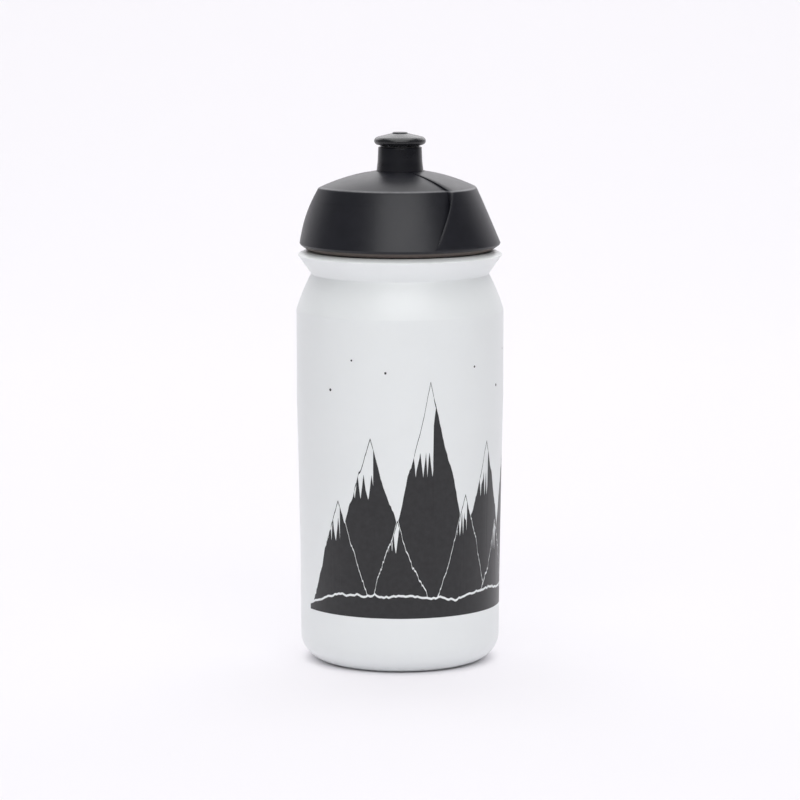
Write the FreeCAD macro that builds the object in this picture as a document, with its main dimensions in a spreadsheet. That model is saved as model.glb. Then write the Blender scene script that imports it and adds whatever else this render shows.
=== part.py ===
import FreeCAD, Part
import math
import os
import re
import Sketcher

# A push-pull squeeze bottle for a bicycle cage, in millimetres. Z is up and z = 0 is the surface
# it stands on. The photographed front faces -Y. Every height below is measured from z = 0.

BOTTLE_SIZES = {
    # Base and wall
    "base_hollow": 3.0,        # rise of the base's middle above the floor
    "foot_inner": 24.0,        # inner radius of the flat ring that stands on the floor
    "foot_outer": 26.1,
    "corner_round": 9.5,       # radius of the round between foot and wall
    "wall_low": 35.65,         # wall radius where that round ends
    "wall_mid": 35.85,         # the wall widens slowly at first and faster near the grip band
    "wall_mid_height": 40.0,
    "wall_high": 36.48,
    "wall_high_height": 75.4,
    "grip_radius": 37.0,       # the band that a standard bottle cage holds
    "grip_low": 95.5,
    "grip_high": 126.4,
    "skin": 1.2,               # wall thickness
    "collar_wall": 1.68,       # thickness where the wall folds round the collar's edge
    # Shoulder, waist and collar
    "shoulder_sweep": 70.0,
    "waist_radius": 31.64,
    "waist_height": 139.3,
    "collar_radius": 36.54,
    "collar_height": 146.2,
    "shelf_radius": 33.5,
    "shelf_height": 147.55,
    # Neck and its thread
    "neck_radius": 28.9,
    "mouth_radius": 27.3,
    "rim_height": 160.2,
    "lead": 4.0,               # rise of one turn of the thread
    "neck_thread_turns": 2.0,
    "neck_thread_low": 149.2,
    "ridge_root": 1.8,         # width of the thread ridge where it leaves the wall
    "ridge_crest": 0.8,
    "ridge_rise": 1.2,
    "ridge_bite": 0.4,         # depth of the ridge's root inside the wall
    # Rounds
    "shoulder_round": 1.5,
    "collar_round": 0.7,
    "waist_round": 0.8,
    "rim_round": 0.5,
}

CAP_SIZES = {
    # One facet of the skirt is a leaning cone through circles. The lowest is on the bottle's axis
    # and the others have their centres off it. Where a facet ends, its neighbour stands proud.
    "skirt_edge": 150.3,
    "skirt_edge_radius": 35.78,
    "skirt_mid": 161.4,
    "skirt_mid_radius": 32.87,
    "skirt_mid_offset": 2.28,
    "ridge": 170.2,
    "ridge_radius": 29.74,
    "ridge_offset": 3.31,
    "skirt_top": 177.0,
    "skirt_top_radius": 27.0,
    "skirt_top_offset": 4.1,
    "dome_radius": 75.0,       # the top is part of a ball
    "dome_reach": 45.0,        # half width of the cut that leaves it, past the ridge all round
    "facets": 3.0,
    "step_turn": 308.0,        # where the front step's corner stands, in degrees from +X
    # The step's line in plan, from the spout out to the ridge and round to the lower edge
    "step_start": 12.0,
    "step_start_lag": 2.3,
    "step_corner": 29.5,
    "step_end": 34.0,
    "step_end_lag": 11.7,
    "step_sweep": 18.0,
    "trim": 60.0,              # half size of the block that is cut away beside a facet
    # Lower edge
    "lip_height": 147.9,
    "lip_inner": 33.0,
    "lip_bend": 35.1,
    "lip_bend_height": 149.4,
    "lip_round": 1.2,
    # Hollow inside
    "bore_radius": 30.5,
    "bore_top": 158.6,
    "pocket_radius": 29.1,     # pocket that holds the gasket
    "seat_height": 161.7,
    "seat_inner": 26.8,
    "crown_low": 165.2,
    "crown_low_radius": 26.0,
    "crown_bend": 168.6,
    "crown_bend_radius": 24.3,
    "crown_high": 172.3,
    "crown_high_radius": 15.0,
    "plate_under": 174.0,
    "cap_thread_turns": 1.0,
    # Spout post and sealing pin
    "nest_radius": 8.7,        # round recess that the nozzle's foot stands in
    "nest_floor": 175.3,
    "post_bore": 4.7,
    "post_radius": 6.0,
    "bead_radius": 6.6,
    "bead_low": 181.6,
    "bead_high": 182.1,
    "post_top": 182.6,
    "ribs": 3.0,               # ribs that hold the pin in the post's bore
    "rib_low": 176.0,
    "rib_height": 2.0,
    "rib_width": 1.0,
    "stem_radius": 2.2,
    "stem_top": 186.4,
    "plug_radius": 2.75,
    "plug_low": 187.0,
    "plug_edge": 189.25,
    "plug_top": 189.5,
    "plug_crown": 2.5,
}

NOZZLE_SIZES = {
    # Sleeve
    "sleeve_foot": 175.5,
    "sleeve_foot_radius": 8.35,
    "sleeve_mid": 179.3,
    "sleeve_mid_radius": 7.95,
    "sleeve_top": 184.3,
    "sleeve_top_radius": 7.74,
    "catch_radius": 6.08,      # inner lip that runs on the post and stops under its bead
    "catch_top": 176.5,
    "chamber_radius": 6.95,
    "chamber_top": 182.9,
    "outlet_radius": 4.2,
    "stub_radius": 5.6,
    "barb_radius": 6.0,
    "barb_low": 185.6,
    "barb_high": 185.9,
    "stub_top": 187.0,
    # Mouthpiece
    "groove_radius": 6.95,
    "groove_top": 184.9,
    "flange_radius": 9.2,
    "flange_height": 186.3,
    "flange_edge": 187.2,
    "flange_edge_radius": 9.0,
    "crown_radius": 8.3,
    "crown_height": 187.8,
    "hole_top": 188.95,
    "hole_edge_radius": 3.1,
    "hole_edge": 189.1,
    "hole_radius": 2.83,
    # Gasket
    "gasket_inner": 27.1,
    "gasket_outer": 28.9,
}

SHEET = "size"


def make_sheet(doc):
    """Put every driving dimension in the spreadsheet, one aliased cell each."""
    sheet = doc.addObject("Spreadsheet::Sheet", SHEET)
    row = 0
    for group in (BOTTLE_SIZES, CAP_SIZES, NOZZLE_SIZES):
        for name, size in group.items():
            row += 1
            sheet.set(f"A{row}", name)
            sheet.set(f"B{row}", str(size))
            sheet.setAlias(f"B{row}", name)
    doc.recompute()
    return sheet


def formula(text):
    """Write a sum of sheet names, such as 'rim_height - skin', as an expression."""
    return re.sub(r"[a-z]\w*", lambda word: f"{SHEET}.{word.group()}", text)


def value(sheet, text):
    """The number that such a sum has now."""
    return float(sheet.evalExpression(formula(text)))


def bind(thing, prop, text):
    """Tie one property of an object to the sheet."""
    thing.setExpression(prop, formula(text))


def plane(body, role):
    """One of the body's own origin planes or axes."""
    return next(item for item in body.Origin.OriginFeatures if item.Role == role)


def new_sketch(body, role, name):
    """An empty sketch on one of the body's origin planes."""
    sketch = body.newObject("Sketcher::SketchObject", name)
    sketch.AttachmentSupport = (plane(body, role), [""])
    sketch.MapMode = "FlatFace"
    return sketch


def arc_between(start, end, radius, centre_on_left):
    """The short arc of that radius from start to end."""
    middle = (start + end) * 0.5
    along = end - start
    across = FreeCAD.Vector(-along.y, along.x, 0).normalize()
    if not centre_on_left:
        across = across * -1
    centre = middle + across * math.sqrt(radius ** 2 - (along.Length / 2) ** 2)
    crest = centre - across * radius
    return Part.Arc(start, crest, end)


def pin_point(sketch, geometry, end, axis, text):
    """Fix one coordinate of a side's end point, on the axis or at a bound distance from it."""
    if text == "0":
        other_axis = -2 if axis == "X" else -1
        sketch.addConstraint(Sketcher.Constraint("PointOnObject", geometry, end, other_axis))
        return
    point = sketch.getPoint(geometry, end)
    distance = point.x if axis == "X" else point.y
    index = sketch.addConstraint(Sketcher.Constraint(f"Distance{axis}", -1, 1, geometry, end, distance))
    bind(sketch, f"Constraints[{index}]", text)


def draw_outline(sheet, sketch, corners, arcs=None):
    """Close a loop through corners, pairs of sums. arcs gives a side a radius and its centre's side."""
    arcs = arcs or {}
    spots = [FreeCAD.Vector(value(sheet, across), value(sheet, up), 0) for across, up in corners]
    for side, spot in enumerate(spots):
        following = spots[(side + 1) % len(spots)]
        if side in arcs:
            radius, centre_on_left = arcs[side]
            curve = arc_between(spot, following, value(sheet, radius), centre_on_left)
        else:
            curve = Part.LineSegment(spot, following)
        sketch.addGeometry(curve)
    starts = []
    ends = []
    for side, spot in enumerate(spots):
        first_is_start = sketch.getPoint(side, 1).distanceToPoint(spot) < 1e-6
        starts.append(1 if first_is_start else 2)
        ends.append(2 if first_is_start else 1)
    for side, (across, up) in enumerate(corners):
        before = side - 1 if side else len(corners) - 1
        sketch.addConstraint(Sketcher.Constraint("Coincident", before, ends[before], side, starts[side]))
        pin_point(sketch, side, starts[side], "X", across)
        pin_point(sketch, side, starts[side], "Y", up)
    for side, (radius, _) in arcs.items():
        index = sketch.addConstraint(Sketcher.Constraint("Radius", side, value(sheet, radius)))
        bind(sketch, f"Constraints[{index}]", radius)


def turned(body, kind, sheet, name, corners, arcs=None):
    """A Revolution or Groove of an outline in radius and height about the Z axis."""
    sketch = new_sketch(body, "XZ_Plane", f"{name}_outline")
    draw_outline(sheet, sketch, corners, arcs)
    feature = body.newObject(f"PartDesign::{kind}", name)
    feature.Profile = sketch
    feature.ReferenceAxis = (sketch, ["V_Axis"])
    feature.Angle = 360
    return feature


def round_rings(body, sheet, name, rings, radius):
    """Fillet the circular edges that lie at the given radii and heights."""
    body.Document.recompute()
    base = body.Tip
    found = []
    for ring_radius, ring_height in rings:
        for index, edge in enumerate(base.Shape.Edges, start=1):
            if edge.Degenerated or not isinstance(edge.Curve, Part.Circle):
                continue
            curve = edge.Curve
            near_radius = abs(curve.Radius - value(sheet, ring_radius)) < 0.01
            near_height = abs(curve.Center.z - value(sheet, ring_height)) < 0.01
            if near_radius and near_height:
                found.append(f"Edge{index}")
    if len(found) < len(rings):
        raise RuntimeError(f"{name} misses an edge to round")
    fillet = body.newObject("PartDesign::Fillet", name)
    fillet.Base = (base, found)
    bind(fillet, "Radius", radius)
    return fillet


def thread_ridge(body, sheet, name, root, crest, low, turns):
    """Add a screw ridge whose section is a trapezium between two radii."""
    sketch = new_sketch(body, "XZ_Plane", f"{name}_section")
    corners = [
        (root, f"{low} - ridge_root / 2"),
        (crest, f"{low} - ridge_crest / 2"),
        (crest, f"{low} + ridge_crest / 2"),
        (root, f"{low} + ridge_root / 2"),
    ]
    draw_outline(sheet, sketch, corners)
    ridge = body.newObject("PartDesign::AdditiveHelix", name)
    ridge.Profile = sketch
    ridge.ReferenceAxis = (sketch, ["V_Axis"])
    ridge.Mode = "pitch-turns-angle"
    bind(ridge, "Pitch", "lead")
    bind(ridge, "Turns", turns)
    return ridge


def new_body(doc, label):
    """A body named for the piece that it is."""
    body = doc.addObject("PartDesign::Body", label)
    body.Label = label
    return body


def make_bottle(doc, sheet):
    """The blown shell: base, wall, shoulder, waist, hollow collar and threaded neck."""
    body = new_body(doc, "bottle_body")
    outside = [
        ("0", "base_hollow"),
        ("foot_inner", "0"),
        ("foot_outer", "0"),
        ("wall_low", "corner_round"),
        ("wall_mid", "wall_mid_height"),
        ("wall_high", "wall_high_height"),
        ("grip_radius", "grip_low"),
        ("grip_radius", "grip_high"),
        ("waist_radius", "waist_height"),
        ("collar_radius", "collar_height"),
        ("shelf_radius", "shelf_height"),
        ("neck_radius", "shelf_height"),
        ("neck_radius", "rim_height"),
        ("mouth_radius", "rim_height"),
    ]
    inside = [
        ("mouth_radius", "shelf_height - skin"),
        ("shelf_radius - skin / 2", "shelf_height - skin"),
        ("collar_radius - collar_wall", "collar_height - skin / 2"),
        ("waist_radius - skin", "waist_height"),
        ("grip_radius - skin", "grip_high - skin / 2"),
        ("grip_radius - skin", "grip_low"),
        ("wall_high - skin", "wall_high_height"),
        ("wall_mid - skin", "wall_mid_height"),
        ("wall_low - skin", "corner_round"),
        ("foot_outer", "skin"),
        ("foot_inner", "skin"),
        ("0", "base_hollow + skin"),
    ]
    arcs = {
        0: ("foot_inner * foot_inner / 2 / base_hollow + base_hollow / 2", False),
        2: ("corner_round", True),
        7: ("shoulder_sweep", True),
        22: ("corner_round - skin", False),
    }
    turned(body, "Revolution", sheet, "shell", outside + inside, arcs)
    round_rings(body, sheet, "shoulder_corner", [("grip_radius", "grip_high")], "shoulder_round")
    round_rings(body, sheet, "collar_edge",
                [("collar_radius", "collar_height"), ("shelf_radius", "shelf_height")], "collar_round")
    round_rings(body, sheet, "waist_hollow", [("waist_radius", "waist_height")], "waist_round")
    round_rings(body, sheet, "rim_edge",
                [("neck_radius", "rim_height"), ("mouth_radius", "rim_height")], "rim_round")
    thread_ridge(body, sheet, "neck_thread", "neck_radius - ridge_bite", "neck_radius + ridge_rise",
                 "neck_thread_low", "neck_thread_turns")
    return body


def facet_circle(body, sheet, level):
    """One circle of the leaning cone, with its centre moved along -Y."""
    sketch = new_sketch(body, "XY_Plane", f"{level}_circle")
    bind(sketch, "AttachmentOffset.Base.z", level)
    offset = f"{level}_offset"
    radius = f"{level}_radius"
    moved = value(sheet, offset) if offset in CAP_SIZES else 0
    circle = Part.Circle(FreeCAD.Vector(0, -moved, 0), FreeCAD.Vector(0, 0, 1), value(sheet, radius))
    sketch.addGeometry(circle)
    if moved:
        sketch.addConstraint(Sketcher.Constraint("PointOnObject", 0, 3, -2))
        index = sketch.addConstraint(Sketcher.Constraint("DistanceY", 0, 3, -1, 1, moved))
        bind(sketch, f"Constraints[{index}]", offset)
    else:
        sketch.addConstraint(Sketcher.Constraint("Coincident", 0, 3, -1, 1))
    index = sketch.addConstraint(Sketcher.Constraint("Radius", 0, value(sheet, radius)))
    bind(sketch, f"Constraints[{index}]", radius)
    return sketch


def facet_cone(body, sheet):
    """The leaning cone of one facet, through its circles."""
    names = ("skirt_edge", "skirt_mid", "ridge", "skirt_top")
    levels = [facet_circle(body, sheet, name) for name in names]
    cone = body.newObject("PartDesign::AdditiveLoft", "facet_cone")
    cone.Profile = levels[0]
    cone.Sections = levels[1:]
    cone.Ruled = False


def facet_dome(body, sheet):
    """Cut the cone's top to a ball that meets it in the ridge."""
    sketch = new_sketch(body, "YZ_Plane", "dome_outline")
    bind(sketch, "AttachmentOffset.Base.x", "0 - ridge_offset")
    top = "(ridge + dome_radius - (dome_radius ^ 2 - ridge_radius ^ 2) ^ 0.5)"
    fall = "(dome_radius - (dome_radius ^ 2 - dome_reach ^ 2) ^ 0.5)"
    draw_outline(sheet, sketch, [
        ("0", top),
        ("dome_reach", f"{top} - {fall}"),
        ("dome_reach", f"{top} + {fall}"),
        ("0", f"{top} + {fall}"),
    ], {0: ("dome_radius", False)})
    groove = body.newObject("PartDesign::Groove", "facet_dome")
    groove.Profile = sketch
    groove.ReferenceAxis = (sketch, ["V_Axis"])
    groove.Angle = 360


def facet_sector(body, sheet):
    """Keep the part of the cone from its step line to a little past the next step."""
    sketch = new_sketch(body, "XY_Plane", "step_line")
    corners = [
        ("0", "0"),
        ("step_start", "0 - step_start_lag"),
        ("step_corner", "0"),
        ("step_end", "0 - step_end_lag"),
        ("step_end", "0 - trim"),
        ("0 - trim", "0 - trim"),
        ("0 - trim", "trim"),
    ]
    draw_outline(sheet, sketch, corners, {2: ("step_sweep", False)})
    pocket = body.newObject("PartDesign::Pocket", "facet_step")
    pocket.Profile = sketch
    pocket.Type = "ThroughAll"
    pocket.Reversed = True


def make_cap_form(body, sheet):
    """The outside of the cap: three equal facets about the axis."""
    facet_cone(body, sheet)
    turned(body, "Revolution", sheet, "lip", [
        ("0", "lip_height"),
        ("lip_inner", "lip_height"),
        ("lip_bend", "lip_bend_height"),
        ("skirt_edge_radius", "skirt_edge"),
        ("0", "skirt_edge"),
    ], {2: ("lip_round", True)})
    facet_dome(body, sheet)
    facet_sector(body, sheet)
    body.Document.recompute()
    pattern = body.newObject("PartDesign::PolarPattern", "facet_pattern")
    pattern.TransformMode = "Whole shape"
    pattern.Axis = (plane(body, "Z_Axis"), [""])
    pattern.Angle = 360
    bind(pattern, "Occurrences", "facets")
    body.Tip = pattern
    body.Document.recompute()


def make_spout(body, sheet):
    """The post that the nozzle slides on, and the pin that closes the nozzle's hole."""
    turned(body, "Groove", sheet, "nest", [
        ("0", "nest_floor"),
        ("nest_radius", "nest_floor"),
        ("nest_radius", "plug_low"),
        ("0", "plug_low"),
    ])
    turned(body, "Revolution", sheet, "post", [
        ("post_bore", "plate_under"),
        ("post_radius", "plate_under"),
        ("post_radius", "bead_low"),
        ("bead_radius", "bead_low"),
        ("bead_radius", "bead_high"),
        ("post_radius", "post_top"),
        ("post_bore", "post_top"),
    ])
    sketch = new_sketch(body, "XY_Plane", "rib_outline")
    bind(sketch, "AttachmentOffset.Base.z", "rib_low")
    draw_outline(sheet, sketch, [
        ("0", "0 - rib_width / 2"),
        ("post_bore + ridge_bite", "0 - rib_width / 2"),
        ("post_bore + ridge_bite", "rib_width / 2"),
        ("0", "rib_width / 2"),
    ])
    rib = body.newObject("PartDesign::Pad", "rib")
    rib.Profile = sketch
    bind(rib, "Length", "rib_height")
    body.Document.recompute()
    ribs = body.newObject("PartDesign::PolarPattern", "ribs")
    ribs.Originals = [rib]
    ribs.Axis = (plane(body, "Z_Axis"), [""])
    ribs.Angle = 360
    bind(ribs, "Occurrences", "ribs")
    body.Tip = ribs
    body.Document.recompute()
    turned(body, "Revolution", sheet, "pin", [
        ("0", "rib_low"),
        ("stem_radius", "rib_low"),
        ("stem_radius", "stem_top"),
        ("plug_radius", "plug_low"),
        ("plug_radius", "plug_edge"),
        ("plug_crown", "plug_top"),
        ("0", "plug_top"),
    ])


def make_cap(doc, sheet):
    """The screw cap, modelled with a step's corner on +X and then turned into place."""
    body = new_body(doc, "screw_cap")
    make_cap_form(body, sheet)
    turned(body, "Groove", sheet, "hollow", [
        ("0", "shelf_height"),
        ("bore_radius", "shelf_height"),
        ("bore_radius", "bore_top"),
        ("pocket_radius", "rim_height"),
        ("pocket_radius", "seat_height"),
        ("seat_inner", "seat_height"),
        ("crown_low_radius", "crown_low"),
        ("crown_bend_radius", "crown_bend"),
        ("crown_high_radius", "crown_high"),
        ("post_bore", "plate_under"),
        ("post_bore", "plug_low"),
        ("0", "plug_low"),
    ])
    make_spout(body, sheet)
    thread_ridge(body, sheet, "cap_thread", "bore_radius + ridge_bite", "bore_radius - ridge_rise",
                 "neck_thread_low - lead / 2 + lead * step_turn / 360", "cap_thread_turns")
    body.Placement.Rotation = FreeCAD.Rotation(FreeCAD.Vector(0, 0, 1), value(sheet, "step_turn"))
    bind(body, "Placement.Rotation.Angle", "step_turn")
    return body


def make_gasket(doc, sheet):
    """The flat ring that seals the cap on the neck's rim."""
    body = new_body(doc, "cap_gasket")
    turned(body, "Revolution", sheet, "ring", [
        ("gasket_inner", "rim_height"),
        ("gasket_outer", "rim_height"),
        ("gasket_outer", "seat_height"),
        ("gasket_inner", "seat_height"),
    ])
    return body


STUB = [
    ("stub_radius", "sleeve_top"),
    ("stub_radius", "barb_low"),
    ("barb_radius", "barb_high"),
    ("stub_radius", "stub_top"),
]


def make_sleeve(doc, sheet):
    """The hard sleeve, with a catch inside its foot and a barbed stub on top."""
    body = new_body(doc, "nozzle_sleeve")
    turned(body, "Revolution", sheet, "sleeve", [
        ("catch_radius", "sleeve_foot"),
        ("sleeve_foot_radius", "sleeve_foot"),
        ("sleeve_mid_radius", "sleeve_mid"),
        ("sleeve_top_radius", "sleeve_top"),
        *STUB,
        ("outlet_radius", "stub_top"),
        ("outlet_radius", "chamber_top"),
        ("chamber_radius", "chamber_top"),
        ("chamber_radius", "catch_top"),
        ("catch_radius", "catch_top"),
    ])
    return body


def make_mouthpiece(doc, sheet):
    """The soft flanged end that is bitten, pressed over the sleeve's stub."""
    body = new_body(doc, "mouthpiece")
    turned(body, "Revolution", sheet, "flange", [
        ("groove_radius", "sleeve_top"),
        ("groove_radius", "groove_top"),
        ("flange_radius", "flange_height"),
        ("flange_edge_radius", "flange_edge"),
        ("crown_radius", "crown_height"),
        ("hole_edge_radius", "hole_edge"),
        ("hole_radius", "hole_top"),
        ("hole_radius", "stub_top"),
        *reversed(STUB),
    ])
    return body


def check(doc, parts):
    """Stop if any object failed or any piece is empty or broken."""
    for thing in doc.Objects:
        if {"Invalid", "Error"} & set(thing.State):
            raise RuntimeError(f"{thing.Name} is {thing.State}")
    for part in parts:
        shape = part.Shape
        if shape.isNull() or not shape.isValid() or len(shape.Solids) != 1:
            raise RuntimeError(f"{part.Label} isn't one sound solid")
        box = shape.BoundBox
        print(f"{part.Label}: {shape.Volume:.0f} mm3, z {box.ZMin:.2f} to {box.ZMax:.2f}")


def main():
    doc = FreeCAD.newDocument("water_bottle")
    sheet = make_sheet(doc)
    makers = (make_bottle, make_cap, make_gasket, make_sleeve, make_mouthpiece)
    parts = [maker(doc, sheet) for maker in makers]
    doc.recompute()
    check(doc, parts)
    os.makedirs("parts", exist_ok=True)
    for part in parts:
        part.Shape.exportStep(f"parts/{part.Label}.step")


main()
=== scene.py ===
import functools
import math
import random

import bmesh
import bpy
from bpy.props import FloatProperty, FloatVectorProperty, IntProperty, PointerProperty
from mathutils import Matrix, Vector


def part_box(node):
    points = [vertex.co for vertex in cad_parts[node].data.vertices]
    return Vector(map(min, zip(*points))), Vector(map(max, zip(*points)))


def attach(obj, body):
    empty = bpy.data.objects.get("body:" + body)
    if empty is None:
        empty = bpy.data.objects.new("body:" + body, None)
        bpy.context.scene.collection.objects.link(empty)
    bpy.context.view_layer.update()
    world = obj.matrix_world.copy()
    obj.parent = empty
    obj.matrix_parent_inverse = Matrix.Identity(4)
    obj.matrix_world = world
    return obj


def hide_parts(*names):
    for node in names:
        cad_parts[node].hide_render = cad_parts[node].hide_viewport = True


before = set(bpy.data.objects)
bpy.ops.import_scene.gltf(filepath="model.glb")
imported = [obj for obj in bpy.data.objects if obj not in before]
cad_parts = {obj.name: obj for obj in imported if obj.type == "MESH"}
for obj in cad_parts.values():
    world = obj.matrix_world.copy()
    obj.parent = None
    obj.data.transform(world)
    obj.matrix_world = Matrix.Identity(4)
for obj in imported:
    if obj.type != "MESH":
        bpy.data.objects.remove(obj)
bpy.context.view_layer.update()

bl_info = {
    "name": "Squeeze Bottle",
    "version": (1, 0, 0),
    "blender": (4, 5, 0),
    "location": "View3D > Sidebar > Bottle",
    "description": "Builds a push-pull squeeze bottle for a bicycle cage and its studio stage",
    "category": "Object",
}

MM = 0.001
MERGE = 0.001 * MM
SLIVER = 0.0005 * MM
BOTTLE_LOW, BOTTLE_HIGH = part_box("bottle_body")
CAP_LOW, CAP_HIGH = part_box("screw_cap")
GASKET_LOW, GASKET_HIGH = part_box("cap_gasket")
SLEEVE_LOW, SLEEVE_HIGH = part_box("nozzle_sleeve")
BITE_LOW, BITE_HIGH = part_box("mouthpiece")


def length(default, description):
    """A size in metres that a user may change."""
    return FloatProperty(description=description, default=default, min=0.0, unit="LENGTH", precision=5)


def turn(degrees, description):
    """An angle that a user may change."""
    return FloatProperty(description=description, default=math.radians(degrees), subtype="ANGLE")


def fraction(default, description):
    """A share of one that a user may change."""
    return FloatProperty(description=description, default=default, min=0.0, max=1.0)


def colour(default, description):
    """A colour that a user may change."""
    return FloatVectorProperty(description=description, default=default, size=3, min=0.0, max=1.0,
                               subtype="COLOR")


def watts(default, description):
    """A lamp's power in watts that a user may change."""
    return FloatProperty(description=description, default=default, min=0.0, unit="POWER")


class ShellSizes(bpy.types.PropertyGroup):
    """Sizes of the white shell"""

    hollow: length(0.003, "Rise of the middle of the base")
    foot_inner: length(0.024, "Inner radius of the ring that stands on the floor")
    foot_outer: length(0.0261, "Outer radius of that ring")
    corner: length(0.0095, "Radius of the round between base and wall")
    low: length(0.03565, "Wall radius just above the base round")
    middle: length(0.03585, "Wall radius at the middle height")
    middle_height: length(0.040, "Height of the middle wall radius")
    high: length(0.03648, "Wall radius at the upper height")
    high_height: length(0.0754, "Height of the high wall radius")
    grip: length(BOTTLE_HIGH.x - 0.03 * MM, "Radius of the band that a bottle cage holds")
    grip_low: length(0.0955, "Height where the wall starts to narrow downwards")
    grip_high: length(0.1264, "Height where the wall turns in to the shoulder")
    sweep: length(0.070, "Radius of the shoulder's arc")
    waist: length(0.03164, "Radius of the waist under the collar")
    waist_height: length(0.1393, "Height of the waist")
    collar: length(0.03654, "Radius of the collar's edge")
    collar_height: length(0.1462, "Height of the collar's edge")
    shelf: length(0.0335, "Radius where the collar meets the shelf")
    shelf_height: length(0.14755, "Height of the shelf around the neck")
    neck: length(0.0289, "Outer radius of the neck")
    mouth: length(0.0273, "Inner radius of the neck")
    skin: length(0.0012, "Thickness of the blown wall")


class ThreadSizes(bpy.types.PropertyGroup):
    """Sizes of the screw thread"""

    lead: length(0.004, "Rise of one turn")
    rise: length(0.0012, "How far a ridge stands out of its wall")
    bite: length(0.0004, "How deep a ridge's root is set in its wall")
    root: length(0.0018, "Width of a ridge at its wall")
    crest: length(0.0008, "Width of a ridge at its crest")
    low: length(0.1492, "Height where the neck's ridge starts")
    run_out: turn(24, "How far round a ridge fades at each end")


class CapSizes(bpy.types.PropertyGroup):
    """Sizes of the black screw cap"""

    facets: IntProperty(description="Number of swept facets round the cap", default=3, min=2)
    step_turn: turn(308, "Direction of the front step's corner")
    step_start: length(0.012, "Distance from the axis where the step leaves its ray")
    step_lag: length(0.0023, "How far the step's start lies behind the corner's ray")
    step_corner: length(0.0295, "Distance of the step's corner from the axis")
    step_end: length(0.034, "Distance of the step's end from the axis, along the corner's ray")
    step_end_lag: length(0.0117, "How far the step's end lies behind that ray")
    step_sweep: length(0.018, "Radius of the step's arc in plan")
    step_fade: fraction(0.25, "Share of the step's height that is left at the nest")
    edge: length(0.1503, "Height of the widest edge of the skirt")
    edge_radius: length(0.03578, "Radius of that edge")
    middle: length(0.1614, "Height of a facet's middle section")
    middle_radius: length(0.03287, "Radius of that section")
    middle_offset: length(0.00228, "How far that section's centre is off the axis")
    ridge: length(0.1702, "Height of the ridge between skirt and top")
    ridge_radius: length(0.02974, "Radius of a facet's ridge")
    ridge_offset: length(0.00331, "How far the ridge's centre is off the axis")
    top_height: length(0.177, "Height where a facet's cone would end above the ridge")
    top_radius: length(0.027, "Radius of the cone at that height")
    top_offset: length(0.0041, "How far that end's centre is off the axis")
    dome: length(0.075, "Radius of the ball that the top is part of")
    ridge_round: length(0.0005, "How far the ridge's round reaches")
    step_round: length(0.0016, "How far the round of a step's edge reaches")
    bore: length(0.0305, "Radius of the threaded bore")
    bore_top: length(0.1586, "Height of that bore's top")
    nest: length(0.0087, "Radius of the recess around the nozzle's foot")
    nest_floor: length(0.1753, "Height of that recess's floor")
    plate: length(0.174, "Height of the top's underside at the spout post")
    post: length(0.006, "Radius of the spout post")
    post_top: length(0.1826, "Height of the spout post's top")
    post_bore: length(0.0047, "Radius of the hole in the spout post")
    bead: length(0.0066, "Radius of the post's snap bead")
    bead_low: length(0.1816, "Height of the bead's foot")
    bead_high: length(0.1821, "Height of the bead's crest")
    pin: length(0.0022, "Radius of the sealing pin")
    pin_foot: length(0.176, "Height of the foot of pin and ribs")
    plug: length(0.00275, "Radius of the pin's head")
    plug_low: length(0.187, "Height where the head is full")
    plug_high: length(0.18925, "Height where the head narrows again")
    lip_height: length(0.1494, "Height where the edge's round meets the lip")
    lip_radius: length(0.0351, "Radius of the skirt there")
    lip_round: length(0.0012, "Radius of the edge's round")
    # painted bounce light: the lip is painted with warm bounce light up to this height
    painted_bounce_top: length(0.1491, "Height up to which the lip is dull")
    crease: length(0.0051, "How far the soft crease lies below the ridge")


class NozzleSizes(bpy.types.PropertyGroup):
    """Sizes of the sliding sleeve and the mouthpiece"""

    catch: length(0.00608, "Inner radius of the catch under the post's bead")
    catch_top: length(0.1765, "Height of the catch's top")
    barrel_bore: length(0.00695, "Inner radius of the sleeve above the catch")
    barrel_top: length(0.1829, "Height where that bore ends")
    shoulder: length(0.00795, "Radius of the sleeve above its foot")
    shoulder_height: length(0.1793, "Height of that radius")
    neck: length(0.00774, "Radius of the sleeve at its top")
    bore: length(0.0042, "Radius of the way for the drink")
    stub: length(0.0056, "Radius of the stub that holds the mouthpiece")
    barb: length(0.006, "Radius of the stub's barb")
    barb_low: length(0.1856, "Height where the barb starts")
    barb_high: length(0.1859, "Height where it is widest")
    root: length(0.00695, "Radius of the mouthpiece at its foot")
    rim_low: length(0.186, "Lower height of the flange's widest rim")
    rim_high: length(0.1869, "Upper height of that rim")
    crown: length(0.0084, "Radius where the crown starts")
    crown_height: length(0.1878, "Height where it starts")
    hole: length(0.00283, "Radius of the drinking hole")
    hole_low: length(0.187, "Height where that hole starts")
    hole_edge: length(0.0031, "Radius of the hole's upper edge")


class PrintSizes(bpy.types.PropertyGroup):
    """Layout of the printed mountain range"""

    foot: length(0.0207, "Height of the print's lower edge")
    start: turn(207, "Direction where the print starts")
    span: turn(216, "How far the print goes round the wall")
    ink: length(0.00002, "How far the ink stands on the wall")
    seed: IntProperty(description="Seed of the range's jags", default=11)


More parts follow.
